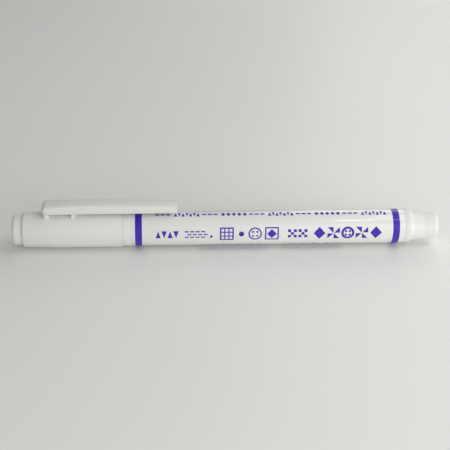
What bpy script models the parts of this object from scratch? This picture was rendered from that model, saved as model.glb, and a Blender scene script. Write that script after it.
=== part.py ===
"""Fabric marking pen with a pull-off cap, lying on its cap with the pocket clip upwards.

The pen's axis runs along X: the capped end is at -X, the tail is at +X and the clip is on the +Z side.
The origin is under the middle of the pen, on the surface that it lies on. Lengths are in metres.
Stations are distances along the axis from the capped end, and radii are distances from the axis.
"""

from math import cos, pi, radians, sin, sqrt

import bmesh
import bpy
from mathutils import Matrix, Vector

MM = 0.001

# Driving dimensions.
LENGTH = 138.0 * MM
BARREL_RADIUS = 5.6 * MM
CAP_RADIUS = 5.91 * MM
CROWN_RADIUS = 4.97 * MM
STUB_RADIUS = 4.78 * MM
PLUG_RADIUS = 4.28 * MM

CROWN_LENGTH = 3.45 * MM
CAP_SHELL_LENGTH = 31.55 * MM
COLLAR_LENGTH = 3.05 * MM
BARREL_LENGTH = 88.45 * MM
TAIL_RING_LENGTH = 2.5 * MM
STUB_LENGTH = 3.9 * MM

SEAT_GAP = 0.05 * MM
FACE_GAP = 0.04 * MM
SLIDING_GAP = 0.08 * MM

# Stations that follow from the lengths.
CAP_START = CROWN_LENGTH
CAP_MOUTH = CAP_START + CAP_SHELL_LENGTH
BARREL_START = CAP_MOUTH + COLLAR_LENGTH
BARREL_END = BARREL_START + BARREL_LENGTH
STUB_START = BARREL_END + TAIL_RING_LENGTH
STUB_END = STUB_START + STUB_LENGTH

# Turned inside shapes.
CAP_WALL = 1.25 * MM
CAP_BORE = CAP_RADIUS - CAP_WALL
CAP_CROWN_END_RADIUS = 5.67 * MM
CAP_FULL_STATION = 15.0 * MM
CROWN_SOCKET_RADIUS = 3.9 * MM
CROWN_SOCKET_DEPTH = 4.6 * MM
CAP_SHOULDER = CAP_START + CROWN_SOCKET_DEPTH

BARREL_WALL = 1.0 * MM
BARREL_BORE = BARREL_RADIUS - BARREL_WALL
SLEEVE_RADIUS = BARREL_BORE - SEAT_GAP
SLEEVE_LENGTH = 8.0 * MM

NIB_RADIUS = 1.0 * MM
NIB_TIP = 13.7 * MM
NIB_END = 47.0 * MM
NOZZLE_START = 16.9 * MM

SEAL_LAND_RADIUS = 3.12 * MM
SEAL_LAND_START = 20.6 * MM
SEAL_LAND_END = 23.8 * MM
NECK_RADIUS = 4.27 * MM
NECK_START = 29.6 * MM
SNAP_STATION = 31.6 * MM
SNAP_HEIGHT = 0.16 * MM

INNER_CAP_WALL = 0.62 * MM
INNER_CAP_BORE = SEAL_LAND_RADIUS + SLIDING_GAP
INNER_CAP_RADIUS = INNER_CAP_BORE + INNER_CAP_WALL
INNER_CAP_MOUTH = SEAL_LAND_END - 0.4 * MM
INNER_CAP_FLOOR = 1.0 * MM

RESERVOIR_RADIUS = 3.4 * MM
RESERVOIR_FILM = 0.2 * MM
RESERVOIR_START = 40.6 * MM
RESERVOIR_END = BARREL_END - 8.0 * MM
RESERVOIR_SOCKET = RESERVOIR_RADIUS + RESERVOIR_FILM + 0.18 * MM

PLUG_STEM_RADIUS = 3.48 * MM
PLUG_ROUND = 2.0 * MM
CROWN_ROUND = 1.1 * MM

# Pocket clip: a strip with a flat underside and an arched back.
CLIP_START = 9.6 * MM
CLIP_SPLIT = 21.4 * MM
CLIP_SPLIT_GAP = 0.3 * MM
CLIP_END = 52.8 * MM
CLIP_UNDERSIDE = 6.65 * MM
CLIP_PEAK = 9.86 * MM
CLIP_PEAK_STATION = 28.6 * MM
CLIP_ARCH_RADIUS = 340.0 * MM
CLIP_ROOT_WIDTH = 6.2 * MM
CLIP_TIP_WIDTH = 5.3 * MM
CLIP_CORNER = 0.9 * MM
CLIP_END_ROUND = 1.3 * MM
CLIP_CORE_WALL = 1.0 * MM
CLIP_BUMP_RADIUS = 6.0 * MM
CLIP_BUMP_STATION = 49.6 * MM
CLIP_HINGE_HEIGHT = (CLIP_UNDERSIDE + CLIP_PEAK) / 2

FOOT_WIDTH = 5.7 * MM
FOOT_LEAN = 0.5 * MM
# Where each foot starts, and how long it is.
FEET = {"rear": (10.3 * MM, 2.1 * MM), "front": (18.9 * MM, 1.6 * MM)}
FOOT_BOTTOM = 4.95 * MM
WEB_WIDTH = 2.2 * MM

# Turned pieces have this many flats, which lie at the stated radius. The pen rests on the lowest ones.
SIDES = 20
ARC_STEPS = 4
CLIP_STEP = 3.6 * MM
MERGE = 0.0005 * MM
SMOOTH_ANGLE = radians(35)


def clear_scene():
    for item in list(bpy.data.objects):
        bpy.data.objects.remove(item, do_unlink=True)


def new_material(name, colour, roughness, metallic=0.0):
    material = bpy.data.materials.new(name)
    material.use_nodes = True
    shader = material.node_tree.nodes["Principled BSDF"]
    shader.inputs["Base Color"].default_value = (*colour, 1.0)
    shader.inputs["Roughness"].default_value = roughness
    shader.inputs["Metallic"].default_value = metallic
    return material


def new_empty(name, location, parent=None):
    empty = bpy.data.objects.new(name, None)
    empty.location = location
    empty.parent = parent
    empty.empty_display_size = 4 * MM
    bpy.context.scene.collection.objects.link(empty)
    return empty


def new_object(name, mesh_builder, material, parent):
    """Makes an object from a bmesh that is modelled about the pen's axis, in stations."""
    bmesh.ops.recalc_face_normals(mesh_builder, faces=mesh_builder.faces)
    mesh = bpy.data.meshes.new(name)
    mesh_builder.to_mesh(mesh)
    mesh_builder.free()
    mesh.shade_smooth()
    mesh.set_sharp_from_angle(angle=SMOOTH_ANGLE)
    mesh.materials.append(material)
    item = bpy.data.objects.new(name, mesh)
    item.parent = parent
    bpy.context.scene.collection.objects.link(item)
    return item


def combine(target, tool, operation):
    """Joins a helper to a piece, or cuts the piece with it, and hides the helper."""
    modifier = target.modifiers.new(tool.name, "BOOLEAN")
    modifier.operation = operation
    modifier.object = tool
    modifier.solver = "EXACT"
    tool.hide_render = True
    tool.display_type = "WIRE"


def arc(station, radius, size, start_degrees, end_degrees, steps=ARC_STEPS):
    """Outline points on a round. Angle 0 points towards the tail, and 90 away from the axis."""
    turn = (end_degrees - start_degrees) / steps
    angles = [radians(start_degrees + turn * i) for i in range(steps + 1)]
    return [(station + size * cos(a), radius + size * sin(a)) for a in angles]


def turned(name, outline, material, parent):
    """A solid of revolution about the pen's axis, from (station, radius) points, with a flat downwards."""
    builder = bmesh.new()
    half_flat = Matrix.Rotation(pi / SIDES, 3, "X")
    to_corner = 1 / cos(pi / SIDES)
    ring = [builder.verts.new(half_flat @ Vector((s, 0, r * to_corner))) for s, r in outline]
    pairs = list(zip(ring, ring[1:]))
    starts_on_axis = outline[0][1] == 0
    if not starts_on_axis:
        pairs.append((ring[-1], ring[0]))
    edges = [builder.edges.new(pair) for pair in pairs]
    bmesh.ops.spin(
        builder,
        geom=ring + edges,
        cent=(0, 0, 0),
        axis=(1, 0, 0),
        angle=2 * pi,
        steps=SIDES,
        use_merge=True,
    )
    bmesh.ops.remove_doubles(builder, verts=builder.verts, dist=MERGE)
    return new_object(name, builder, material, parent)


def prism(name, outline, width, material, parent):
    """A side outline of (station, height) points, extruded to a width centred on the clip's middle plane."""
    builder = bmesh.new()
    corners = [builder.verts.new((s, -width / 2, z)) for s, z in outline]
    face = builder.faces.new(corners)
    grown = bmesh.ops.extrude_face_region(builder, geom=[face])["geom"]
    moved = [v for v in grown if isinstance(v, bmesh.types.BMVert)]
    bmesh.ops.translate(builder, verts=moved, vec=(0, width, 0))
    return new_object(name, builder, material, parent)


def lofted(name, sections, material, parent):
    """A skin through sections of equally many points, closed at both ends."""
    builder = bmesh.new()
    rings = [[builder.verts.new(point) for point in section] for section in sections]
    count = len(rings[0])
    for near, far in zip(rings, rings[1:]):
        for i in range(count):
            after = (i + 1) % count
            builder.faces.new((near[i], near[after], far[after], far[i]))
    builder.faces.new(rings[0])
    builder.faces.new(reversed(rings[-1]))
    return new_object(name, builder, material, parent)


# Cap.


def make_cap_crown(material, parent):
    """The stepped end piece, with a hollow stem in the cap shell's socket."""
    stem_radius = CROWN_SOCKET_RADIUS - SEAT_GAP
    stem_end = CAP_SHOULDER - 0.5 * MM
    hollow_radius = 2.9 * MM
    hollow_bottom = 1.4 * MM
    lead_in = 0.3 * MM
    outline = [(0, 0)]
    outline += arc(CROWN_ROUND, CROWN_RADIUS - CROWN_ROUND, CROWN_ROUND, 180, 90)
    outline += [
        (CAP_START - FACE_GAP, CROWN_RADIUS),
        (CAP_START - FACE_GAP, stem_radius),
        (stem_end - lead_in, stem_radius),
        (stem_end, stem_radius - lead_in),
        (stem_end, hollow_radius),
        (hollow_bottom, hollow_radius),
        (hollow_bottom, 0),
    ]
    return turned("cap_crown", outline, material, parent)


def foot_outline(base_station, length, bottom, grow=0.0):
    """Side view of a leaning clip foot, from its bottom up into the strip, grown by a clearance."""
    top = CLIP_UNDERSIDE + CLIP_CORNER
    lean = FOOT_LEAN * (top - bottom) / (CLIP_UNDERSIDE - FOOT_BOTTOM)
    return [
        (base_station - grow, bottom),
        (base_station + length + grow, bottom),
        (base_station + length + lean + grow, top),
        (base_station + lean - grow, top),
    ]


def make_cap_shell(material, parent):
    """The outer cap tube: a socket for the crown, a snap ridge near its mouth and slots for the clip."""
    edge = 0.25 * MM
    ridge = CAP_BORE - SNAP_HEIGHT
    outline = [
        (CAP_START, CROWN_SOCKET_RADIUS),
        (CAP_START, CAP_CROWN_END_RADIUS - edge),
        (CAP_START + edge, CAP_CROWN_END_RADIUS),
        (CAP_FULL_STATION, CAP_RADIUS),
        (CAP_MOUTH - edge, CAP_RADIUS),
        (CAP_MOUTH, CAP_RADIUS - edge),
        (CAP_MOUTH, CAP_BORE + edge),
        (CAP_MOUTH - edge, CAP_BORE),
        (SNAP_STATION + 1.6 * MM, CAP_BORE),
        (SNAP_STATION + 1.2 * MM, ridge),
        (SNAP_STATION + 0.8 * MM, ridge),
        (SNAP_STATION + 0.4 * MM, CAP_BORE),
        (CAP_SHOULDER, CAP_BORE),
        (CAP_SHOULDER, CROWN_SOCKET_RADIUS),
    ]
    shell = turned("cap_shell", outline, material, parent)
    clearance = 0.06 * MM
    for place, (station, length) in FEET.items():
        side = foot_outline(station, length, FOOT_BOTTOM - clearance, clearance)
        width = FOOT_WIDTH + 2 * clearance
        slot = prism(f"cut_{place}_foot_slot", side, width, material, parent)
        combine(shell, slot, "DIFFERENCE")
    return shell


def make_inner_cap(material, parent):
    """The cup that seals round the nozzle, held in the cap shell by its flange."""
    start = CAP_SHOULDER + FACE_GAP
    floor = start + INNER_CAP_FLOOR
    lead_in = 0.25 * MM
    outline = [
        (start, 0),
        (start, CAP_BORE - SEAT_GAP),
        (floor, CAP_BORE - SEAT_GAP),
        (floor, INNER_CAP_RADIUS),
        (INNER_CAP_MOUTH, INNER_CAP_RADIUS),
        (INNER_CAP_MOUTH, INNER_CAP_BORE + lead_in),
        (INNER_CAP_MOUTH - lead_in, INNER_CAP_BORE),
        (floor, INNER_CAP_BORE),
        (floor, 0),
    ]
    return turned("inner_cap", outline, material, parent)


# Pocket clip.


def clip_back(station):
    """Height of the clip's arched back."""
    off = station - CLIP_PEAK_STATION
    return CLIP_PEAK - (CLIP_ARCH_RADIUS - sqrt(CLIP_ARCH_RADIUS**2 - off**2))


def clip_width(station):
    share = (station - CLIP_START) / (CLIP_END - CLIP_START)
    return CLIP_ROOT_WIDTH + (CLIP_TIP_WIDTH - CLIP_ROOT_WIDTH) * share


def clip_section(station, drop=0.0):
    """The strip's cross-section: flat below, round at the shoulders and lightly crowned above."""
    half = clip_width(station) / 2
    top = clip_back(station) - drop
    crown = 0.12 * MM
    lower_corner = 0.25 * MM
    shoulder = [
        (half - CLIP_CORNER + CLIP_CORNER * cos(a), top - crown - CLIP_CORNER + CLIP_CORNER * sin(a))
        for a in (0, pi / 6, pi / 3, pi / 2)
    ]
    right = [
        (half - lower_corner, CLIP_UNDERSIDE),
        (half, CLIP_UNDERSIDE + lower_corner),
        *shoulder,
    ]
    left = [(-y, z) for y, z in reversed(right)]
    return [Vector((station, y, z)) for y, z in [*right, (0, top), *left]]


def clip_sections(start, end, round_start):
    """Sections from start to end, at most CLIP_STEP apart, with the first ones dropped to round the end."""
    sections = []
    first = start
    if round_start:
        for a in (0, 30, 60):
            run = CLIP_END_ROUND * (1 - cos(radians(a)))
            drop = CLIP_END_ROUND * (1 - sin(radians(a)))
            sections.append(clip_section(start + run, drop))
        first = start + CLIP_END_ROUND
    count = round((end - first) / CLIP_STEP)
    sections += [clip_section(first + (end - first) * i / count) for i in range(count + 1)]
    return sections


def make_clip_root(material, parent):
    """The clip's fixed end: the start of the strip, two leaning feet and the web between them."""
    sections = clip_sections(CLIP_START, CLIP_SPLIT, round_start=True)
    root = lofted("clip_root", sections, material, parent)
    for place, (station, length) in FEET.items():
        side = foot_outline(station, length, FOOT_BOTTOM)
        foot = prism(f"add_{place}_foot", side, FOOT_WIDTH, material, parent)
        combine(root, foot, "UNION")
    middles = [start + length / 2 + FOOT_LEAN / 2 for start, length in FEET.values()]
    web_bottom = CAP_RADIUS + 2 * FACE_GAP
    web_top = CLIP_UNDERSIDE + CLIP_CORNER
    web_side = [
        (middles[0], web_bottom),
        (middles[1], web_bottom),
        (middles[1], web_top),
        (middles[0], web_top),
    ]
    web = prism("add_web", web_side, WEB_WIDTH, material, parent)
    combine(root, web, "UNION")
    return root


def make_clip_arm(material, hinge_place, hinge):
    """The springing end of the clip, cored out below, with a grip bump near its tip."""
    start = CLIP_SPLIT + CLIP_SPLIT_GAP
    sections = clip_sections(start, CLIP_END, round_start=False)
    arm = lofted("clip_arm", sections, material, hinge)
    core_start, core_end = start + 2.2 * MM, CLIP_BUMP_STATION - 3.0 * MM
    count = 6
    core_stations = [core_start + (core_end - core_start) * i / count for i in range(count + 1)]
    roof = [(s, clip_back(s) - CLIP_CORE_WALL - 0.25 * MM) for s in reversed(core_stations)]
    floor = CLIP_UNDERSIDE - CLIP_CORNER
    core_side = [(core_start, floor), (core_end, floor), *roof]
    core_width = CLIP_TIP_WIDTH - 2 * CLIP_CORE_WALL
    core = prism("cut_clip_core", core_side, core_width, material, hinge)
    combine(arm, core, "DIFFERENCE")

    bump_size = 2.0 * MM
    bump_centre = CLIP_BUMP_RADIUS + bump_size
    bump_side = arc(CLIP_BUMP_STATION, bump_centre, bump_size, 180, 360, 8)
    bump = prism("add_grip_bump", bump_side, 2.0 * MM, material, hinge)
    combine(arm, bump, "UNION")
    for item in (arm, core, bump):
        item.data.transform(Matrix.Translation(-hinge_place))
    return arm


# Body.


def make_front_section(material, parent):
    """The nose: a nozzle, a seal land, a cone, a neck, a collar, and a sleeve in the barrel."""
    edge = 0.2 * MM
    collar_radius = BARREL_RADIUS + 0.03 * MM
    collar_start = CAP_MOUTH + FACE_GAP
    collar_end = BARREL_START - FACE_GAP
    sleeve_end = BARREL_START + SLEEVE_LENGTH
    guide = NIB_RADIUS + 0.06 * MM
    bead = NECK_RADIUS + SNAP_HEIGHT
    outline = [
        (NOZZLE_START, guide),
        (NOZZLE_START, 1.65 * MM),
        (NOZZLE_START + edge, 1.8 * MM),
        (SEAL_LAND_START - 0.4 * MM, 2.6 * MM),
        (SEAL_LAND_START, SEAL_LAND_RADIUS),
        (SEAL_LAND_END, SEAL_LAND_RADIUS),
        (SEAL_LAND_END + 0.2 * MM, 3.35 * MM),
        (NECK_START - 0.3 * MM, 4.15 * MM),
        (NECK_START, NECK_RADIUS),
        (SNAP_STATION - 0.6 * MM, NECK_RADIUS),
        (SNAP_STATION - 0.2 * MM, bead),
        (SNAP_STATION + 0.2 * MM, bead),
        (SNAP_STATION + 0.6 * MM, NECK_RADIUS),
        (collar_start, NECK_RADIUS),
        (collar_start, collar_radius - edge),
        (collar_start + edge, collar_radius),
        (collar_end - edge, collar_radius),
        (collar_end, collar_radius - edge),
        (collar_end, SLEEVE_RADIUS),
        (sleeve_end - edge, SLEEVE_RADIUS),
        (sleeve_end, SLEEVE_RADIUS - edge),
        (sleeve_end, RESERVOIR_SOCKET),
        (RESERVOIR_START - 0.3 * MM, RESERVOIR_SOCKET),
        (RESERVOIR_START - 0.3 * MM, 3.1 * MM),
        (NECK_START, 3.1 * MM),
        (SEAL_LAND_END + 1.4 * MM, guide),
    ]
    return turned("front_section", outline, material, parent)


def make_nib(material, parent):
    """The bullet-ended fibre rod, which runs from the nozzle back into the reservoir."""
    shoulder = NIB_TIP + 1.7 * MM
    end_round = 0.45 * MM
    outline = [(NIB_TIP, 0)]
    outline += arc(NIB_TIP + end_round, 0, end_round, 155, 112, 2)
    outline += [
        (shoulder, NIB_RADIUS),
        (NIB_END, NIB_RADIUS),
        (NIB_END, 0),
    ]
    return turned("nib", outline, material, parent)


def make_reservoir_core(material, parent):
    """The ink-holding fibre bundle, with a socket for the nib's back end."""
    socket = NIB_RADIUS + 0.06 * MM
    socket_end = NIB_END + 0.5 * MM
    outline = [
        (socket_end, 0),
        (socket_end, socket),
        (RESERVOIR_START, socket),
        (RESERVOIR_START, RESERVOIR_RADIUS),
        (RESERVOIR_END, RESERVOIR_RADIUS),
        (RESERVOIR_END, 0),
    ]
    return turned("reservoir_core", outline, material, parent)


def make_reservoir_film(material, parent):
    """The plastic film wrapped round the fibre bundle."""
    inner = RESERVOIR_RADIUS + SEAT_GAP
    outer = inner + RESERVOIR_FILM
    start, end = RESERVOIR_START + 0.2 * MM, RESERVOIR_END - 0.2 * MM
    outline = [(start, inner), (start, outer), (end, outer), (end, inner)]
    return turned("reservoir_film", outline, material, parent)


def make_barrel(material, parent):
    """The barrel tube, with ribs inside that centre the reservoir."""
    edge = 0.15 * MM
    outline = [
        (BARREL_START, BARREL_BORE),
        (BARREL_START, BARREL_RADIUS - edge),
        (BARREL_START + edge, BARREL_RADIUS),
        (BARREL_END - edge, BARREL_RADIUS),
        (BARREL_END, BARREL_RADIUS - edge),
        (BARREL_END, BARREL_BORE),
    ]
    barrel = turned("barrel", outline, material, parent)
    rib_count = 5
    rib_width = 0.7 * MM
    rib_foot = RESERVOIR_SOCKET + 0.05 * MM
    rib_root = BARREL_BORE + BARREL_WALL / 2
    rib_start = BARREL_START + SLEEVE_LENGTH + 1.0 * MM
    rib_end = BARREL_END - SLEEVE_LENGTH - 1.0 * MM
    side = [(rib_start, rib_foot), (rib_end, rib_foot), (rib_end, rib_root), (rib_start, rib_root)]
    for i in range(rib_count):
        rib = prism(f"add_rib_{i + 1}", side, rib_width, material, parent)
        rib.data.transform(Matrix.Rotation(2 * pi * i / rib_count, 4, "X"))
        combine(barrel, rib, "UNION")
    return barrel


def make_tail_collar(material, parent):
    """The tail fitting: a sleeve in the barrel, a flush ring, and the stub that can hold the cap."""
    edge = 0.2 * MM
    bore = PLUG_STEM_RADIUS + SEAT_GAP
    ring_start = BARREL_END + FACE_GAP
    sleeve_start = BARREL_END - 7.0 * MM
    end = STUB_END - FACE_GAP
    outline = [
        (sleeve_start, bore),
        (sleeve_start, SLEEVE_RADIUS - edge),
        (sleeve_start + edge, SLEEVE_RADIUS),
        (ring_start, SLEEVE_RADIUS),
        (ring_start, BARREL_RADIUS - edge),
        (ring_start + edge, BARREL_RADIUS - 0.03 * MM),
        (STUB_START - 2 * edge, BARREL_RADIUS - 0.12 * MM),
        (STUB_START, BARREL_RADIUS - 0.5 * MM),
        (STUB_START, STUB_RADIUS),
        (end - edge, STUB_RADIUS - 0.1 * MM),
        (end, STUB_RADIUS - 0.1 * MM - edge),
        (end, bore),
    ]
    return turned("tail_collar", outline, material, parent)


def make_tail_plug(material, parent):
    """The end plug, with a round head and a hollow stem that stops the reservoir."""
    stem_start = RESERVOIR_END + 0.4 * MM
    hollow_radius = 2.5 * MM
    lead_in = 0.3 * MM
    round_station, round_radius = LENGTH - PLUG_ROUND, PLUG_RADIUS - PLUG_ROUND
    outline = [
        (STUB_END - 1.5 * MM, 0),
        (STUB_END - 1.5 * MM, hollow_radius),
        (stem_start, hollow_radius),
        (stem_start, PLUG_STEM_RADIUS - lead_in),
        (stem_start + lead_in, PLUG_STEM_RADIUS),
        (STUB_END, PLUG_STEM_RADIUS),
        (STUB_END, PLUG_RADIUS),
        *arc(round_station, round_radius, PLUG_ROUND, 90, 0),
        (LENGTH, 0),
    ]
    return turned("tail_plug", outline, material, parent)


def main():
    clear_scene()
    cap_white = new_material("cap_plastic", (0.86, 0.86, 0.83), 0.45)
    barrel_white = new_material("barrel_plastic", (0.9, 0.9, 0.87), 0.2)
    liner_white = new_material("liner_plastic", (0.82, 0.84, 0.84), 0.5)
    nib_fibre = new_material("nib_fibre", (0.93, 0.92, 0.88), 0.9)
    reservoir_fibre = new_material("reservoir_fibre", (0.88, 0.87, 0.84), 0.95)
    film = new_material("reservoir_film", (0.85, 0.9, 0.92), 0.25)

    pen = new_empty("pen_axis", (-LENGTH / 2, 0, CAP_RADIUS))
    cap = new_empty("cap_slide", (0, 0, 0), pen)
    hinge_place = Vector((CLIP_SPLIT, 0, CLIP_HINGE_HEIGHT))
    clip_hinge = new_empty("clip_hinge", hinge_place, cap)

    make_cap_crown(cap_white, cap)
    make_cap_shell(cap_white, cap)
    make_inner_cap(liner_white, cap)
    make_clip_root(cap_white, cap)
    make_clip_arm(cap_white, hinge_place, clip_hinge)

    make_front_section(cap_white, pen)
    make_nib(nib_fibre, pen)
    make_reservoir_core(reservoir_fibre, pen)
    make_reservoir_film(film, pen)
    make_barrel(barrel_white, pen)
    make_tail_collar(cap_white, pen)
    make_tail_plug(cap_white, pen)


main()
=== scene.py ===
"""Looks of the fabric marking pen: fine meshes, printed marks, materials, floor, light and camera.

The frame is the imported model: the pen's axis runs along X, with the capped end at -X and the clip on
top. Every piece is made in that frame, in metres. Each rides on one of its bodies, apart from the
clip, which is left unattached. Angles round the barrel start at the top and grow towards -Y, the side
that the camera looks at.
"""

from math import cos, pi, radians, sin, sqrt, tan

import bmesh
import bpy
from mathutils import Matrix, Quaternion, Vector


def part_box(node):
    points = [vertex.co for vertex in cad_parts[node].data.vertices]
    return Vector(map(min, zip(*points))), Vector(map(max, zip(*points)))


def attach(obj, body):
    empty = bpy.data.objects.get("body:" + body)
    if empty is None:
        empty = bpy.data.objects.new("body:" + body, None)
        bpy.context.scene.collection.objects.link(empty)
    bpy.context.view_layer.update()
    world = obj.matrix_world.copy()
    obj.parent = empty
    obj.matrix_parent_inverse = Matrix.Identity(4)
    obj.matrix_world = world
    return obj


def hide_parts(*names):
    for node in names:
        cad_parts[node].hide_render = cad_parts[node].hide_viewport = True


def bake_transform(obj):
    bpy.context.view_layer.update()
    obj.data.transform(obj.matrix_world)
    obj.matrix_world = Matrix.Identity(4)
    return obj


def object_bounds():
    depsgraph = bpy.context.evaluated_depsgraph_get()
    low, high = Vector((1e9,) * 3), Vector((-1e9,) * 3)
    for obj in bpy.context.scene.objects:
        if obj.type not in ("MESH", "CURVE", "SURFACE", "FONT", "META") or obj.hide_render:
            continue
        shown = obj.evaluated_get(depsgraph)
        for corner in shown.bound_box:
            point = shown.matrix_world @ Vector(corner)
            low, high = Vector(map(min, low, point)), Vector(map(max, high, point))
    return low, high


MM = 0.001

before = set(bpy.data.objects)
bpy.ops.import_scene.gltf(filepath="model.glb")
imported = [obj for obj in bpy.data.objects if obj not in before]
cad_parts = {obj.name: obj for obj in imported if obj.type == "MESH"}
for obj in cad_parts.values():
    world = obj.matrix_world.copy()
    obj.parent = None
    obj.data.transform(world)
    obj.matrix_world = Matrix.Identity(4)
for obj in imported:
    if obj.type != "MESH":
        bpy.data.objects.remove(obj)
CAD_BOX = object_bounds()

# Camera and floor. The camera stands in front of the pen and above it, a little towards the cap,
# and looks at a point near the pen's middle.
CAMERA_HEIGHT_ANGLE = radians(28)
CAMERA_DISTANCE = 330 * MM
CAMERA_LEFT = 22 * MM
CAMERA_ROLL = radians(1.32)
VIEW_WIDTH = 146.31 * MM
VIEW_ABOVE_AXIS = 0.79 * MM
VIEW_LEFT = 0.89 * MM
SENSOR_WIDTH = 36.0
FLOOR_SIZE = 3.0

# Round work.
SIDES = 160
PRINT_SIDES = 240
CORNER_STEPS = 5
SHARP_ANGLE = radians(32)
MERGE = 0.0005 * MM

# Ink stands this far out of the barrel, and starts this far inside it.
INK_HEIGHT = 0.015 * MM
INK_DEPTH = 0.02 * MM

# The printed rows' angles round the barrel.
STITCH_ANGLE = radians(13)
MAIN_ROW_ANGLE = radians(85)
LOWER_ROW_ANGLE = radians(148)

# Pieces that meet leave this much between their faces.
JOINT_GAP = 0.04 * MM

# The dimple that the mould's gate leaves in the middle of both end faces.
GATE_DEPTH = 0.1 * MM
GATE_SLOPE = 0.12 * MM


# The frame's own sizes.


def span(node):
    low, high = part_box(node)
    return low.x, high.x


def radius(node):
    low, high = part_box(node)
    return (high.y - low.y) / 2


def axis_height():
    low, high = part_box("barrel")
    return (low.z + high.z) / 2


AXIS_Z = axis_height()
PEN_START, PEN_END = CAD_BOX[0].x, CAD_BOX[1].x
CAP_START, CAP_MOUTH = span("cap_shell")
BARREL_START, BARREL_END = span("barrel")
BARREL_RADIUS = radius("barrel")
CAP_RADIUS = radius("cap_shell")

# The barrel's wall is 1 mm thick, and the sleeves that go into it clear it by 0.05 mm.
BARREL_BORE = BARREL_RADIUS - 1.0 * MM
SLEEVE_RADIUS = BARREL_BORE - 0.05 * MM


# Meshes.


def new_piece(name, builder, material):
    bmesh.ops.recalc_face_normals(builder, faces=builder.faces)
    mesh = bpy.data.meshes.new(name)
    builder.to_mesh(mesh)
    builder.free()
    mesh.shade_smooth()
    mesh.set_sharp_from_angle(angle=SHARP_ANGLE)
    mesh.materials.append(material)
    piece = bpy.data.objects.new(name, mesh)
    bpy.context.scene.collection.objects.link(piece)
    return piece


def rounded(corners, steps=CORNER_STEPS):
    """An outline through (x, radius, fillet) corners, with each corner rounded by its fillet."""
    closed = corners[0][1] != 0
    outline = []
    for i, (x, r, fillet) in enumerate(corners):
        here = Vector((x, r))
        at_end = i in (0, len(corners) - 1)
        if fillet == 0 or (at_end and not closed):
            outline.append(here)
            continue
        before = Vector(corners[i - 1][:2]) - here
        after = Vector(corners[(i + 1) % len(corners)][:2]) - here
        half = before.angle(after) / 2
        reach = min(fillet / tan(half), 0.48 * before.length, 0.48 * after.length)
        start = here + before.normalized() * reach
        end = here + after.normalized() * reach
        inwards = (before.normalized() + after.normalized()).normalized()
        centre = here + inwards * reach / cos(half)
        size = (start - centre).length
        for step in range(steps + 1):
            outline.append(centre + size * (start - centre).slerp(end - centre, step / steps))
    return outline


def turned(name, outline, material, sides=SIDES):
    """A solid turned about the pen's axis from (x, radius) points that start on it or form a closed ring."""
    builder = bmesh.new()
    points = [builder.verts.new((x, 0, r)) for x, r in outline]
    pairs = list(zip(points, points[1:]))
    if outline[0][1] != 0:
        pairs.append((points[-1], points[0]))
    edges = [builder.edges.new(pair) for pair in pairs]
    bmesh.ops.spin(
        builder,
        geom=points + edges,
        cent=(0, 0, 0),
        axis=(1, 0, 0),
        angle=2 * pi,
        steps=sides,
        use_merge=True,
    )
    bmesh.ops.remove_doubles(builder, verts=builder.verts, dist=MERGE)
    bmesh.ops.translate(builder, verts=builder.verts, vec=(0, 0, AXIS_Z))
    return new_piece(name, builder, material)


# Materials.


class Shader:
    """A Principled material, with short ways to add nodes that follow the piece's own surface."""

    def __init__(self, name, **plain_values):
        self.material = bpy.data.materials.new(name)
        self.material.use_nodes = True
        self.tree = self.material.node_tree
        self.surface = self.tree.nodes["Principled BSDF"]
        self.place = self.tree.nodes.new("ShaderNodeTexCoord").outputs["Object"]
        for socket, value in plain_values.items():
            self.surface.inputs[socket.replace("_", " ")].default_value = value

    def link(self, output, socket):
        self.tree.links.new(output, socket)

    def stretched(self, factors):
        """The surface's coordinates, scaled unequally, so that a pattern runs along one direction."""
        node = self.tree.nodes.new("ShaderNodeMapping")
        node.inputs["Scale"].default_value = factors
        self.link(self.place, node.inputs["Vector"])
        return node.outputs["Vector"]

    def noise(self, size, detail=3.0, place=None):
        """Soft noise whose features are about this size, in metres."""
        node = self.tree.nodes.new("ShaderNodeTexNoise")
        node.inputs["Scale"].default_value = 1 / size
        node.inputs["Detail"].default_value = detail
        self.link(place or self.place, node.inputs["Vector"])
        return node.outputs["Fac"]

    def ramp(self, value, low, high, out_low=0.0, out_high=1.0):
        node = self.tree.nodes.new("ShaderNodeMapRange")
        node.inputs["From Min"].default_value = low
        node.inputs["From Max"].default_value = high
        node.inputs["To Min"].default_value = out_low
        node.inputs["To Max"].default_value = out_high
        self.link(value, node.inputs["Value"])
        return node.outputs["Result"]

    def tint(self, value, low, high, dark, light):
        """The surface's colour goes from dark to light as a value goes from low to high."""
        node = self.tree.nodes.new("ShaderNodeValToRGB")
        for stop, position, colour in zip(node.color_ramp.elements, (low, high), (dark, light)):
            stop.position = position
            stop.color = (*colour, 1)
        self.link(value, node.inputs["Fac"])
        self.link(node.outputs["Color"], self.surface.inputs["Base Color"])

    def roughness(self, output):
        self.link(output, self.surface.inputs["Roughness"])

    def bump(self, *layers):
        """Stacks (height output, depth in metres) layers on the surface."""
        below = None
        for height, depth in layers:
            node = self.tree.nodes.new("ShaderNodeBump")
            node.inputs["Distance"].default_value = depth
            self.link(height, node.inputs["Height"])
            if below:
                self.link(below, node.inputs["Normal"])
            below = node.outputs["Normal"]
        self.link(below, self.surface.inputs["Normal"])


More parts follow.
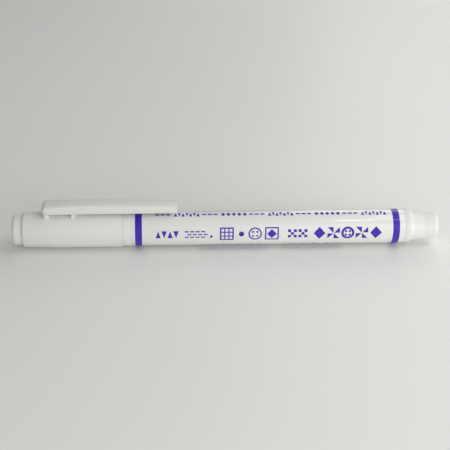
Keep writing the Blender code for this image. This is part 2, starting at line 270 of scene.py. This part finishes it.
def satin_plastic(name, light, dark, roughness):
    """Moulded white plastic with a fine even grain and faint clouding from the melt's flow."""
    shader = Shader(name, IOR=1.49, Subsurface_Weight=0.12, Subsurface_Scale=1.0 * MM)
    shader.surface.inputs["Subsurface Radius"].default_value = (1.0, 0.92, 0.8)
    flow = shader.noise(9 * MM, 4, shader.stretched((0.35, 1, 1)))
    shader.tint(flow, 0.3, 0.7, dark, light)
    smear = shader.noise(2.2 * MM, 5)
    shader.roughness(shader.ramp(smear, 0.25, 0.75, roughness - 0.06, roughness + 0.06))
    grain = shader.noise(0.11 * MM, 2)
    waviness = shader.noise(3.5 * MM, 1)
    shader.bump((waviness, 0.02 * MM), (grain, 0.0035 * MM))
    return shader.material


def gloss_plastic():
    """The barrel: polished white plastic under a clear coat, with hairline scuffs along it."""
    shader = Shader(
        "barrel_gloss_white",
        IOR=1.49,
        Coat_Weight=0.6,
        Coat_Roughness=0.04,
        Subsurface_Weight=0.12,
        Subsurface_Scale=1.0 * MM,
    )
    shader.surface.inputs["Subsurface Radius"].default_value = (1.0, 0.92, 0.8)
    flow = shader.noise(14 * MM, 3, shader.stretched((0.3, 1, 1)))
    shader.tint(flow, 0.3, 0.7, (0.785, 0.79, 0.755), (0.805, 0.81, 0.775))
    scuffs = shader.noise(0.35 * MM, 4, shader.stretched((0.06, 1, 1)))
    shader.roughness(shader.ramp(scuffs, 0.45, 0.8, 0.2, 0.3))
    waviness = shader.noise(5 * MM, 1, shader.stretched((0.5, 1, 1)))
    shader.bump((waviness, 0.03 * MM), (scuffs, 0.0012 * MM))
    return shader.material


def ink():
    """Purple printing ink, a little thinner in places, with a soft shine."""
    shader = Shader("ink_purple", IOR=1.45, Coat_Weight=0.3, Coat_Roughness=0.05)
    density = shader.noise(0.9 * MM, 5)
    shader.tint(density, 0.35, 0.8, (0.036, 0.008, 0.36), (0.062, 0.018, 0.5))
    shader.roughness(shader.ramp(density, 0.3, 0.7, 0.26, 0.36))
    shader.bump((shader.noise(0.12 * MM, 2), 0.002 * MM))
    return shader.material


def liner_plastic():
    """Natural, slightly clear plastic of the inner cap."""
    shader = Shader("liner_natural", IOR=1.5, Subsurface_Weight=0.5, Subsurface_Scale=1.6 * MM)
    shader.surface.inputs["Subsurface Radius"].default_value = (1.0, 1.0, 0.9)
    cloud = shader.noise(4 * MM, 4)
    shader.tint(cloud, 0.3, 0.7, (0.66, 0.7, 0.7), (0.74, 0.77, 0.76))
    shader.roughness(shader.ramp(shader.noise(1.2 * MM, 4), 0.3, 0.7, 0.3, 0.42))
    shader.bump((shader.noise(0.1 * MM, 2), 0.003 * MM))
    return shader.material


def film():
    """Pale, creased film round the reservoir. It isn't see-through here."""
    shader = Shader("reservoir_film_clear", IOR=1.55, Coat_Weight=0.5, Coat_Roughness=0.1)
    creases = shader.noise(1.2 * MM, 5, shader.stretched((0.2, 1, 1)))
    shader.tint(creases, 0.3, 0.7, (0.72, 0.77, 0.8), (0.82, 0.86, 0.88))
    shader.roughness(shader.ramp(creases, 0.3, 0.7, 0.15, 0.3))
    shader.bump((creases, 0.05 * MM))
    return shader.material


def fibre(name, light, dark, strand):
    """A bundle of fibres that run along the pen, each about one strand thick."""
    shader = Shader(name, Sheen_Weight=0.25, Sheen_Roughness=0.5, Subsurface_Weight=0.1)
    shader.surface.inputs["Subsurface Scale"].default_value = 0.5 * MM
    strands = shader.noise(strand, 4, shader.stretched((0.05, 1, 1)))
    clumps = shader.noise(6 * strand, 3, shader.stretched((0.2, 1, 1)))
    shader.tint(strands, 0.35, 0.65, dark, light)
    shader.roughness(shader.ramp(clumps, 0.3, 0.7, 0.82, 0.95))
    shader.bump((clumps, strand / 2), (strands, strand / 3))
    return shader.material


CAP_WHITE = satin_plastic("cap_satin_white", (0.765, 0.77, 0.735), (0.735, 0.74, 0.705), 0.42)
FITTING_WHITE = satin_plastic("fitting_satin_white", (0.785, 0.79, 0.76), (0.76, 0.765, 0.735), 0.38)
BARREL_WHITE = gloss_plastic()
LINER = liner_plastic()
INK = ink()
FILM = film()
NIB_FIBRE = fibre("nib_fibre", (0.86, 0.85, 0.8), (0.72, 0.7, 0.65), 0.06 * MM)
RESERVOIR_FIBRE = fibre("reservoir_fibre", (0.84, 0.83, 0.79), (0.66, 0.65, 0.62), 0.12 * MM)


# Body.


def finish_piece(piece, body, slot, *nodes):
    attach(piece, body)
    if nodes:
        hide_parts(*nodes)


def make_barrel():
    edge = 0.07 * MM
    outline = rounded(
        [
            (BARREL_START, BARREL_BORE, edge),
            (BARREL_START, BARREL_RADIUS, edge),
            (BARREL_END, BARREL_RADIUS, edge),
            (BARREL_END, BARREL_BORE, edge),
        ]
    )
    barrel = turned("barrel_tube", outline, BARREL_WHITE, PRINT_SIDES)
    finish_piece(barrel, "barrel", "barrel_plastic", "barrel")


def make_front_section():
    """The collar that shows when the pen is capped, and the neck, cone and nozzle under the cap."""
    nozzle, sleeve_end = span("front_section")
    collar_start = CAP_MOUTH + JOINT_GAP
    collar_end = BARREL_START - JOINT_GAP
    collar = radius("front_section")
    neck, bead = 4.27 * MM, 4.42 * MM
    land, nib_hole = 3.12 * MM, radius("nib") + 0.06 * MM
    snap = CAP_MOUTH - 3.4 * MM
    cone_end = nozzle + 12.4 * MM
    land_start, land_end = nozzle + 3.7 * MM, nozzle + 6.9 * MM
    socket, socket_mouth = 3.1 * MM, BARREL_START + 1.8 * MM
    sleeve_bore = socket + 0.7 * MM
    outline = rounded(
        [
            (nozzle, nib_hole, 0.12 * MM),
            (nozzle, 1.72 * MM, 0.25 * MM),
            (land_start - 0.5 * MM, 2.55 * MM, 0.3 * MM),
            (land_start, land, 0.25 * MM),
            (land_end, land, 0.15 * MM),
            (land_end + 0.2 * MM, 3.35 * MM, 0.15 * MM),
            (cone_end, 4.15 * MM, 0.4 * MM),
            (cone_end + 0.3 * MM, neck, 0.1 * MM),
            (snap - 0.5 * MM, neck, 0.2 * MM),
            (snap - 0.15 * MM, bead, 0.25 * MM),
            (snap + 0.15 * MM, bead, 0.25 * MM),
            (snap + 0.5 * MM, neck, 0.2 * MM),
            (collar_start, neck, 0.12 * MM),
            (collar_start, collar, 0.1 * MM),
            (collar_end, collar, 0.07 * MM),
            (collar_end, SLEEVE_RADIUS, 0.1 * MM),
            (sleeve_end, SLEEVE_RADIUS, 0.25 * MM),
            (sleeve_end, sleeve_bore, 0.1 * MM),
            (socket_mouth, sleeve_bore, 0.1 * MM),
            (socket_mouth, socket, 0.1 * MM),
            (cone_end + 0.3 * MM, socket, 0.3 * MM),
            (land_end + 1.4 * MM, nib_hole, 0.3 * MM),
        ]
    )
    section = turned("front_section_moulding", outline, FITTING_WHITE)
    finish_piece(section, "barrel", "fitting_plastic", "front_section")


def make_nib():
    tip, end = span("nib")
    width = radius("nib")
    outline = rounded(
        [
            (tip, 0, 0),
            (tip, 0.3 * width, 0.25 * width),
            (tip + 1.7 * MM, width, 1.2 * MM),
            (end, width, 0.1 * MM),
            (end, 0, 0),
        ],
        steps=8,
    )
    nib = turned("fibre_nib", outline, NIB_FIBRE, 64)
    finish_piece(nib, "barrel", "nib_fibre", "nib")


def make_tail():
    """The flush end ring with the stepped stub, and the rounded plug in it."""
    sleeve_start, stub_end = span("tail_collar")
    ring_start = BARREL_END + JOINT_GAP
    stub_start = BARREL_END + 2.5 * MM
    ring, stub = radius("tail_collar"), 4.78 * MM
    bore = 3.53 * MM
    outline = rounded(
        [
            (sleeve_start, bore, 0.1 * MM),
            (sleeve_start, SLEEVE_RADIUS, 0.2 * MM),
            (ring_start, SLEEVE_RADIUS, 0.05 * MM),
            (ring_start, ring, 0.06 * MM),
            (stub_start - 0.75 * MM, ring - 0.08 * MM, 0.4 * MM),
            (stub_start, ring - 0.45 * MM, 0.15 * MM),
            (stub_start, stub, 0.12 * MM),
            (stub_end, stub - 0.1 * MM, 0.25 * MM),
            (stub_end, bore, 0.1 * MM),
        ]
    )
    collar = turned("tail_collar_moulding", outline, FITTING_WHITE)
    finish_piece(collar, "barrel", "fitting_plastic", "tail_collar")

    stem_start, end = span("tail_plug")
    head = radius("tail_plug")
    head_start = stub_end + JOINT_GAP
    stem, hollow, gate = 3.48 * MM, 2.5 * MM, 0.55 * MM
    hollow_end = head_start - 1.5 * MM
    outline = rounded(
        [
            (end - GATE_DEPTH, 0, 0),
            (end - GATE_DEPTH, gate, 0.05 * MM),
            (end, gate + GATE_SLOPE, 0.05 * MM),
            (end, head, 2.0 * MM),
            (head_start, head, 0.15 * MM),
            (head_start, stem, 0.1 * MM),
            (stem_start, stem, 0.3 * MM),
            (stem_start, hollow, 0.1 * MM),
            (hollow_end, hollow, 0.2 * MM),
            (hollow_end, 0, 0),
        ],
        steps=10,
    )
    plug = turned("tail_plug_moulding", outline, FITTING_WHITE)
    finish_piece(plug, "barrel", "fitting_plastic", "tail_plug")


# Cap.


FLARE_LENGTH = 11.5 * MM
FLARE_RISE = 0.26 * MM


def cap_outside(x):
    """The cap shell's outer radius: it flares a little from the crown and then runs straight."""
    share = min(1, (x - CAP_START) / FLARE_LENGTH)
    return CAP_RADIUS - FLARE_RISE * (1 - share)


def make_cap():
    socket = 3.9 * MM
    wall = 1.25 * MM
    bore = CAP_RADIUS - wall
    shoulder = CAP_START + 4.6 * MM
    ridge = CAP_MOUTH - 2.4 * MM
    shell_outline = rounded(
        [
            (CAP_START, socket, 0.1 * MM),
            (CAP_START, cap_outside(CAP_START), 0.35 * MM),
            (CAP_START + FLARE_LENGTH, CAP_RADIUS, 20 * MM),
            (CAP_MOUTH, CAP_RADIUS, 0.14 * MM),
            (CAP_MOUTH, bore, 0.3 * MM),
            (ridge + 0.7 * MM, bore, 0.2 * MM),
            (ridge + 0.2 * MM, bore - 0.15 * MM, 0.2 * MM),
            (ridge - 0.2 * MM, bore - 0.15 * MM, 0.2 * MM),
            (ridge - 0.7 * MM, bore, 0.2 * MM),
            (shoulder, bore, 0.2 * MM),
            (shoulder, socket, 0.1 * MM),
        ]
    )
    shell = turned("cap_tube", shell_outline, CAP_WHITE)
    finish_piece(shell, "cap", "cap_plastic", "cap_shell")

    crown_start, stem_end = span("cap_crown")
    crown, stem, hollow, gate = radius("cap_crown"), 3.85 * MM, 2.9 * MM, 0.6 * MM
    hollow_end = crown_start + 1.4 * MM
    crown_outline = rounded(
        [
            (crown_start + GATE_DEPTH, 0, 0),
            (crown_start + GATE_DEPTH, gate, 0.05 * MM),
            (crown_start, gate + GATE_SLOPE, 0.05 * MM),
            (crown_start, crown, 1.1 * MM),
            (CAP_START - JOINT_GAP, crown, 0.12 * MM),
            (CAP_START - JOINT_GAP, stem, 0.1 * MM),
            (stem_end, stem, 0.3 * MM),
            (stem_end, hollow, 0.1 * MM),
            (hollow_end, hollow, 0.3 * MM),
            (hollow_end, 0, 0),
        ],
        steps=8,
    )
    crown_piece = turned("cap_crown_moulding", crown_outline, CAP_WHITE)
    finish_piece(crown_piece, "cap", "cap_plastic", "cap_crown")

    start, mouth = span("inner_cap")
    cup, flange, floor = 3.2 * MM, radius("inner_cap"), start + 1.0 * MM
    outer = cup + 0.62 * MM
    liner_outline = rounded(
        [
            (start, 0, 0),
            (start, flange, 0.15 * MM),
            (floor, flange, 0.15 * MM),
            (floor, outer, 0.3 * MM),
            (mouth, outer, 0.15 * MM),
            (mouth, cup, 0.25 * MM),
            (floor, cup, 0.3 * MM),
            (floor, 0, 0),
        ]
    )
    liner = turned("inner_cap_liner", liner_outline, LINER, 96)
    finish_piece(liner, "cap", "liner_plastic", "inner_cap")


# Pocket clip.

CLIP_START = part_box("clip_root")[0].x
TIP_CUT = 0.4 * MM
CLIP_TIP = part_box("clip_arm")[1].x - TIP_CUT
CLIP_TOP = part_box("clip_root")[1].z - AXIS_Z
CLIP_UNDERSIDE = 6.65 * MM
CLIP_ROOT_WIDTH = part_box("clip_root")[1].y * 2
CLIP_TIP_WIDTH = 5.3 * MM
ARCH_TOP = CLIP_START + 19.0 * MM
ARCH_RADIUS = 340 * MM
ROOT_ROUND = 1.25 * MM
CLIP_EDGE = 0.3 * MM
TIP_EDGE = 0.12 * MM
SHOULDER = 0.85 * MM
CROWNING = 0.14 * MM
CORE_DEPTH = 1.3 * MM
CORE_WALL = 1.0 * MM

# The groove under the strip: its two ends, the slope at each, and the least plastic left over it.
GROOVE_FROM_ARM = 2.2 * MM
GROOVE_FROM_TIP = 6.2 * MM
GROOVE_EASE = 0.8 * MM
GROOVE_ROOF = 1.2 * MM

# How far the posts run into the strip and into the cap.
POST_SINK = 0.02 * MM
POST_CAP_SINK = 0.05 * MM

# The grip bump.
BUMP_FROM_TIP = 3.2 * MM
BUMP_HALF_LENGTH = 1.9 * MM
BUMP_HALF_WIDTH = 1.3 * MM


def clip_width(x):
    share = (x - CLIP_START) / (CLIP_TIP - CLIP_START)
    return CLIP_ROOT_WIDTH + (CLIP_TIP_WIDTH - CLIP_ROOT_WIDTH) * share


def clip_back(x):
    return CLIP_TOP - (x - ARCH_TOP) ** 2 / (2 * ARCH_RADIUS)


def quarter(distance, size):
    """How far a rounded edge of this size has drawn back, at a distance from the end face."""
    if distance >= size:
        return 0.0
    return size - sqrt(size**2 - (size - distance) ** 2)


def clip_section(x):
    """Points round the strip at x: underside, core groove, sides, rounded shoulders and crowned back."""
    tip_round = quarter(CLIP_TIP - x, TIP_EDGE)
    plan_round = quarter(x - CLIP_START, ROOT_ROUND)
    half = clip_width(x) / 2 - tip_round - plan_round
    top = clip_back(x) - tip_round - plan_round
    bottom = CLIP_UNDERSIDE + tip_round + quarter(x - CLIP_START, CLIP_EDGE)
    corner = min(CLIP_EDGE, (top - bottom) / 3)
    shoulder = min(SHOULDER, top - bottom - corner)
    groove_half = CLIP_TIP_WIDTH / 2 - CORE_WALL
    groove_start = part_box("clip_arm")[0].x + GROOVE_FROM_ARM
    groove_end = CLIP_TIP - GROOVE_FROM_TIP
    into_start = min(1, max(0, (x - groove_start) / GROOVE_EASE))
    into_end = min(1, max(0, (groove_end - x) / GROOVE_EASE))
    roof = bottom + min(CORE_DEPTH, top - bottom - GROOVE_ROOF) * (into_start * into_end)
    right = [(0, roof), (groove_half * 0.9, roof), (groove_half, bottom), (half - corner, bottom)]
    for step in range(1, 5):
        a = step / 4 * pi / 2
        right.append((half - corner + corner * sin(a), bottom + corner - corner * cos(a)))
    for step in range(9):
        a = step / 8 * pi / 2
        right.append(
            (
                half - shoulder + shoulder * cos(a),
                top - CROWNING - shoulder + shoulder * sin(a),
            )
        )
    flat = half - shoulder
    right += [(y, top - CROWNING * (y / flat) ** 2) for y in (0.66 * flat, 0.33 * flat)]
    left = [(-y, z) for y, z in reversed(right[1:])]
    return [Vector((x, y, AXIS_Z + z)) for y, z in [*right, (0, top), *left]]


def clip_stations():
    """Close together where the ends are rounded, and about 0.7 mm apart between."""
    root = [ROOT_ROUND * (1 - cos(radians(a))) for a in range(10, 91, 8)]
    tip = [TIP_EDGE * sin(radians(a)) for a in range(90, -1, -15)]
    first, last = CLIP_START + ROOT_ROUND, CLIP_TIP - TIP_EDGE
    count = 60
    run = [first + (last - first) * i / count for i in range(1, count)]
    return [CLIP_START + d for d in root] + run + [CLIP_TIP - d for d in tip]


def skin(builder, rings):
    """Faces between each ring of points and the next, and one over each end."""
    count = len(rings[0])
    for near, far in zip(rings, rings[1:]):
        for i in range(count):
            after = (i + 1) % count
            builder.faces.new((near[i], near[after], far[after], far[i]))
    builder.faces.new(rings[0])
    builder.faces.new(reversed(rings[-1]))


def add_strip(builder):
    rings = [[builder.verts.new(p) for p in clip_section(x)] for x in clip_stations()]
    skin(builder, rings)


def add_post(builder, start, end, half_width, flare_back, flare_front, lean):
    """A wall that starts just inside the strip and ends just inside the cap, with a fillet at each end.

    flare_back and flare_front are the strip end's fillets, on the faces towards the crown and the
    mouth. lean is how far the strip end stands towards the mouth.
    """
    corner = 0.25 * MM
    side_flare = 0.12 * MM
    cap_flare = 0.15 * MM
    levels = 14
    rings = []
    for level in range(levels + 1):
        share = level / levels
        ring = []
        for side_x, side_y in ((1, 1), (1, -1), (-1, -1), (-1, 1)):
            for step in range(5):
                turn = (1 - step / 4 if side_x * side_y > 0 else step / 4) * pi / 2
                y = side_y * (half_width - corner + corner * sin(turn))
                edge = end - corner if side_x > 0 else start + corner
                x = edge + side_x * corner * cos(turn)
                cap = sqrt(cap_outside(x) ** 2 - y**2)
                height = CLIP_UNDERSIDE + POST_SINK - cap
                down = share * height
                flare = flare_front if side_x > 0 else flare_back
                x += side_x * quarter(down, min(flare, height)) + lean * (1 - share)
                y += side_y * quarter(down, side_flare)
                low = height - down
                x += side_x * quarter(low, cap_flare)
                z = CLIP_UNDERSIDE + POST_SINK - down
                if level == levels:
                    z -= POST_CAP_SINK
                ring.append(builder.verts.new((x, y, AXIS_Z + z)))
        rings.append(ring)
    skin(builder, rings)


def add_bump(builder):
    """The grip bump under the strip, near its tip: a low dome, longer along the strip than across."""
    made = bmesh.ops.create_uvsphere(builder, u_segments=40, v_segments=24, radius=1)
    centre = Vector((CLIP_TIP - BUMP_FROM_TIP, 0, AXIS_Z + CLIP_UNDERSIDE))
    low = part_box("clip_arm")[0].z
    size = Matrix.Diagonal((BUMP_HALF_LENGTH, BUMP_HALF_WIDTH, centre.z - low, 1))
    bmesh.ops.transform(builder, verts=made["verts"], matrix=Matrix.Translation(centre) @ size)


def make_clip():
    builder = bmesh.new()
    add_strip(builder)
    rear = (CLIP_START + 0.65 * MM, CLIP_START + 2.3 * MM)
    front = (CLIP_START + 9.05 * MM, CLIP_START + 10.2 * MM)
    foot_half, web_half = 2.85 * MM, 1.1 * MM
    add_post(builder, *rear, foot_half, 0.55 * MM, 0.4 * MM, 0.0)
    add_post(builder, *front, foot_half, 0.2 * MM, 1.3 * MM, 0.3 * MM)
    add_post(builder, sum(rear) / 2, sum(front) / 2, web_half, 0.1 * MM, 0.1 * MM, 0.0)
    add_bump(builder)
    clip = new_piece("pocket_clip", builder, CAP_WHITE)
    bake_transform(clip)
    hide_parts("clip_root", "clip_arm")


# Printing on the barrel.


BAND_WIDTH = 2.2 * MM
PRINT_START = BARREL_START + 7.4 * MM


def make_band(name, start):
    """A printed ring round the barrel."""
    outline = [
        (start, BARREL_RADIUS - INK_DEPTH),
        (start, BARREL_RADIUS + INK_HEIGHT),
        (start + BAND_WIDTH, BARREL_RADIUS + INK_HEIGHT),
        (start + BAND_WIDTH, BARREL_RADIUS - INK_DEPTH),
    ]
    band = turned(name, outline, INK, PRINT_SIDES)
    finish_piece(band, "barrel", "print_ink")


class Print:
    """Flat marks in (x, v) on the unrolled barrel, where v runs up from the row's middle line."""

    def __init__(self):
        self.flat = bmesh.new()

    def fill(self, rows):
        """A filled shape from (v, left x, right x) rows."""
        points = [
            (self.flat.verts.new((left, v, 0)), self.flat.verts.new((right, v, 0)))
            for v, left, right in rows
        ]
        for low, high in zip(points, points[1:]):
            self.flat.faces.new((low[0], low[1], high[1], high[0]))

    def disc(self, x, size, v=0.0, rows=24):
        angles = [-pi / 2 + pi * (i + 0.02) / (rows + 0.04) for i in range(rows + 1)]
        self.fill([(v + size * sin(a), x - size * cos(a), x + size * cos(a)) for a in angles])

    def taper(self, x, low, high, rows=12):
        """A filled shape with straight sides, from (v, half width) at its low end to its high end."""
        shares = [(i + 0.01) / (rows + 0.02) for i in range(rows + 1)]
        steps = [(low[0] + (high[0] - low[0]) * t, low[1] + (high[1] - low[1]) * t) for t in shares]
        self.fill([(v, x - half, x + half) for v, half in steps])

    def diamond(self, x, half_width, half_height):
        self.taper(x, (-half_height, 0), (0, half_width))
        self.taper(x, (0, half_width), (half_height, 0))

    def triangles(self, start, width, height, count):
        """A border of small triangles that point up and down in turn."""
        for i in range(count):
            ends = [(-height / 2, 0.44 * width), (height / 2, 0)]
            if i % 2:
                ends = [(-height / 2, 0), (height / 2, 0.44 * width)]
            self.taper(start + width * (i + 0.5), *ends, rows=6)

    def dashes(self, start, length, gap, width, count, v=0.0):
        for i in range(count):
            left = start + (length + gap) * i
            self.line([(left, v), (left + length, v)], width)

    def pinwheel(self, x, half, rows=10):
        """A quilt block of four triangles that turn about its middle."""
        inner = 0.06 * half
        low, high = inner, half
        steps = [low + (high - low) * i / rows for i in range(rows + 1)]
        self.fill([(v, x + v, x + half) for v in steps[:-1]])
        self.fill([(v, x - v, x - inner / 2) for v in steps])
        self.fill([(-v, x - half, x - v) for v in reversed(steps[:-1])])
        self.fill([(-v, x + inner / 2, x + v) for v in reversed(steps)])

    def button(self, x, size, width, hole):
        """A button with a rim and four holes."""
        self.ring(x, size, width)
        reach = 0.36 * size
        for side_x, side_v in ((1, 1), (1, -1), (-1, -1), (-1, 1)):
            self.disc(x + side_x * reach, hole, side_v * reach, rows=10)

    def line(self, points, width, closed=False):
        """A line of constant width with mitred corners, cut short enough to follow the barrel's curve."""
        points = [Vector(p) for p in points]
        dense = []
        ends = points + points[:1] if closed else points
        for a, b in zip(ends, ends[1:]):
            pieces = max(1, round((b - a).length / (0.5 * MM)))
            dense += [a.lerp(b, i / pieces) for i in range(pieces)]
        if not closed:
            dense.append(points[-1])
        count = len(dense)
        pairs = []
        for i, here in enumerate(dense):
            before = dense[i - 1] if closed or i else None
            after = dense[(i + 1) % count] if closed or i < count - 1 else None
            into = (here - before).normalized() if before is not None else None
            out = (after - here).normalized() if after is not None else None
            into, out = into or out, out or into
            across = Vector((-into.y - out.y, into.x + out.x)).normalized()
            reach = width / 2 / max(0.4, across.dot(Vector((-into.y, into.x))))
            pairs.append(
                [self.flat.verts.new((*(here + across * side * reach), 0)) for side in (1, -1)]
            )
        links = list(zip(pairs, pairs[1:]))
        if closed:
            links.append((pairs[-1], pairs[0]))
        for near, far in links:
            self.flat.faces.new((near[0], near[1], far[1], far[0]))

    def ring(self, x, size, width, v=0.0, sides=36):
        turns = [2 * pi * i / sides for i in range(sides)]
        self.line([(x + size * cos(a), v + size * sin(a)) for a in turns], width, closed=True)

    def wrap(self, name, angle):
        """Rolls the marks round the barrel at an angle from the top, as raised ink."""
        grown = bmesh.ops.extrude_face_region(self.flat, geom=self.flat.faces[:])["geom"]
        for item in grown:
            if isinstance(item, bmesh.types.BMVert):
                item.co.z = 1
        for point in self.flat.verts:
            out = BARREL_RADIUS + (INK_HEIGHT if point.co.z else -INK_DEPTH)
            turn = angle - point.co.y / BARREL_RADIUS
            point.co = Vector((point.co.x, -out * sin(turn), AXIS_Z + out * cos(turn)))
        piece = new_piece(name, self.flat, INK)
        finish_piece(piece, "barrel", "print_ink")


def print_stitch_line():
    """A sampler along the top: running stitches, with triangles and diamonds between them in turn."""
    marks = Print()
    start, end = PRINT_START, BARREL_END - 5.4 * MM
    height = 1.7 * MM
    repeats = 5
    pitch = (end - start) / repeats
    for i in range(repeats):
        x = start + pitch * i
        marks.dashes(x, 1.3 * MM, 0.5 * MM, 0.62 * MM, 3)
        if i % 2:
            for step in range(5):
                marks.diamond(x + (6.7 + 1.75 * step) * MM, 0.7 * MM, height / 2)
        else:
            marks.triangles(x + 6.0 * MM, 1.2 * MM, height, 7)
    marks.wrap("print_stitch_line", STITCH_ANGLE)


def print_lower_border():
    """Two runs of marks low on the front, which show mostly as a tint on the floor below."""
    marks = Print()
    for i in range(10):
        marks.diamond(BARREL_START + (22.6 + 2.3 * i) * MM, 1.05 * MM, 1.2 * MM)
    marks.triangles(BARREL_START + 48.6 * MM, 1.9 * MM, 2.3 * MM, 10)
    marks.wrap("print_lower_border", LOWER_ROW_ANGLE)


def print_main_row():
    """The row on the front: border, bricks, cloth grid, dot, button and block, checks, bold marks."""
    left = PRINT_START

    small = Print()
    small.triangles(left, 1.9 * MM, 2.4 * MM, 4)
    for row in (-1, 0, 1):
        shift = 0.0 if row else 0.85 * MM
        small.dashes(left + 9.4 * MM + shift, 1.25 * MM, 0.5 * MM, 0.42 * MM, 4, row * 0.95 * MM)
    small.disc(left + 17.9 * MM, 0.45 * MM, v=-0.8 * MM)
    small.wrap("print_small_border", MAIN_ROW_ANGLE)

    cloth = Print()
    middle = left + 22.9 * MM
    half = 2.0 * MM
    corners = [(-half, -half), (half, -half), (half, half), (-half, half)]
    cloth.line([(middle + x, v) for x, v in corners], 0.45 * MM, closed=True)
    for offset in (-0.67 * MM, 0.67 * MM):
        cloth.line([(middle + offset, -half), (middle + offset, half)], 0.34 * MM)
        cloth.line([(middle - half, offset), (middle + half, offset)], 0.34 * MM)
    cloth.wrap("print_cloth_grid", MAIN_ROW_ANGLE)

    dot = Print()
    dot.disc(left + 27.6 * MM, 0.85 * MM)
    dot.wrap("print_dot", MAIN_ROW_ANGLE)

    block = Print()
    block.button(left + 32.0 * MM, 1.95 * MM, 0.44 * MM, 0.34 * MM)
    middle = left + 37.4 * MM
    block.line([(middle + x, v) for x, v in corners], 0.44 * MM, closed=True)
    block.diamond(middle, 1.55 * MM, 1.55 * MM)
    block.wrap("print_button_and_block", MAIN_ROW_ANGLE)

    checks = Print()
    start = left + 42.6 * MM
    cell = 0.95 * MM
    for square in range(2):
        for column in range(3):
            for row in range(3):
                if (column + row) % 2 == 0:
                    low = (row - 1.5) * cell
                    edge = start + square * 3.4 * MM + column * cell
                    checks.fill([(low + cell * i / 3, edge, edge + cell) for i in range(4)])
    checks.wrap("print_checks", MAIN_ROW_ANGLE)

    bold = Print()
    start = left + 52.8 * MM
    pitch = 4.6 * MM
    for place in (0, 4):
        bold.diamond(start + pitch * place, 1.9 * MM, 2.15 * MM)
    for place in (1, 3):
        bold.pinwheel(start + pitch * place, 2.0 * MM)
    bold.button(start + pitch * 2, 1.75 * MM, 0.75 * MM, 0.4 * MM)
    bold.wrap("print_bold_marks", MAIN_ROW_ANGLE)


# Stage.


def place_camera():
    centre = Vector(((PEN_START + PEN_END) / 2, 0, AXIS_Z))
    up = Vector((0, sin(CAMERA_HEIGHT_ANGLE), cos(CAMERA_HEIGHT_ANGLE)))
    back = Vector((0, -cos(CAMERA_HEIGHT_ANGLE), sin(CAMERA_HEIGHT_ANGLE)))
    data = bpy.data.cameras.new("camera")
    camera = bpy.data.objects.new("camera", data)
    bpy.context.scene.collection.objects.link(camera)
    camera.location = centre + back * CAMERA_DISTANCE - Vector((CAMERA_LEFT, 0, 0))
    target = centre + up * VIEW_ABOVE_AXIS - Vector((VIEW_LEFT, 0, 0))
    look = target - camera.location
    camera.rotation_mode = "QUATERNION"
    roll = Quaternion((0, 0, 1), CAMERA_ROLL)
    camera.rotation_quaternion = look.to_track_quat("-Z", "Y") @ roll
    data.sensor_width = SENSOR_WIDTH
    data.lens = SENSOR_WIDTH * look.length / VIEW_WIDTH
    data.clip_start, data.clip_end = 10 * MM, 20
    bpy.context.scene.camera = camera


def area_light(name, place, target, size, power, mirrored=True):
    """A light at a place, turned to its target. One that isn't mirrored stays out of reflections."""
    data = bpy.data.lights.new(name, "AREA")
    data.shape = "RECTANGLE"
    data.size, data.size_y = size
    data.energy = power
    light = bpy.data.objects.new(name, data)
    bpy.context.scene.collection.objects.link(light)
    light.visible_camera = False
    light.visible_glossy = mirrored
    light.location = place
    aim = Vector(target) - Vector(place)
    light.rotation_mode = "QUATERNION"
    light.rotation_quaternion = aim.to_track_quat("-Z", "Y")


def place_lights():
    world = bpy.data.worlds.new("studio")
    world.use_nodes = True
    background = world.node_tree.nodes["Background"]
    background.inputs["Strength"].default_value = 0.29
    background.inputs["Color"].default_value = (1, 1, 1, 1)
    bpy.context.scene.world = world
    bpy.context.scene.view_settings.view_transform = "Standard"
    area_light("front_softbox", (0.06, -0.6, 0.26), (0.4, 0, 0), (0.6, 0.3), 1.02, mirrored=False)
    area_light("right_front_softbox", (0.42, -0.35, 0.1), (0.08, 0, 0), (0.3, 0.16), 1.0)
    area_light("near_softbox", (0.2, -0.3, 0.14), (0.12, 0, 0), (0.35, 0.2), 0.16)
    area_light("right_high_softbox", (0.35, 0, 0.45), (0.12, 0, 0), (0.3, 0.3), 0.58)
    area_light("back_softbox", (0.35, 0.4, 0.3), (0.2, 0.1, 0), (0.6, 0.4), 1.1)
    area_light("overhead_lamp", (0.182, -0.187, 0.464), (0.05, 0, 0), (0.055, 0.03), 0.08)


def floor_material():
    """Pale smooth paper with a faint shine."""
    shader = Shader("floor_pale", IOR=1.4, Specular_IOR_Level=0.3)
    cloud = shader.noise(60 * MM, 4)
    shader.tint(cloud, 0.3, 0.7, (0.85, 0.855, 0.825), (0.862, 0.867, 0.837))
    shader.roughness(shader.ramp(shader.noise(4 * MM, 4), 0.3, 0.7, 0.36, 0.38))
    shader.bump((shader.noise(0.4 * MM, 3), 0.0003 * MM))
    return shader.material


def place_floor():
    builder = bmesh.new()
    bmesh.ops.create_grid(builder, x_segments=8, y_segments=8, size=FLOOR_SIZE / 2)
    new_piece("floor", builder, floor_material())


# Everything, in order.

place_camera()
place_lights()
place_floor()
make_barrel()
make_front_section()
make_nib()
make_tail()
make_cap()
make_clip()
make_band("print_band_front", BARREL_START + 1.0 * MM)
make_band("print_band_tail", BARREL_END - 4.25 * MM)
print_stitch_line()
print_main_row()
print_lower_border()
for node, material in (("reservoir_core", RESERVOIR_FIBRE), ("reservoir_film", FILM)):
    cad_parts[node].material_slots[0].material = material
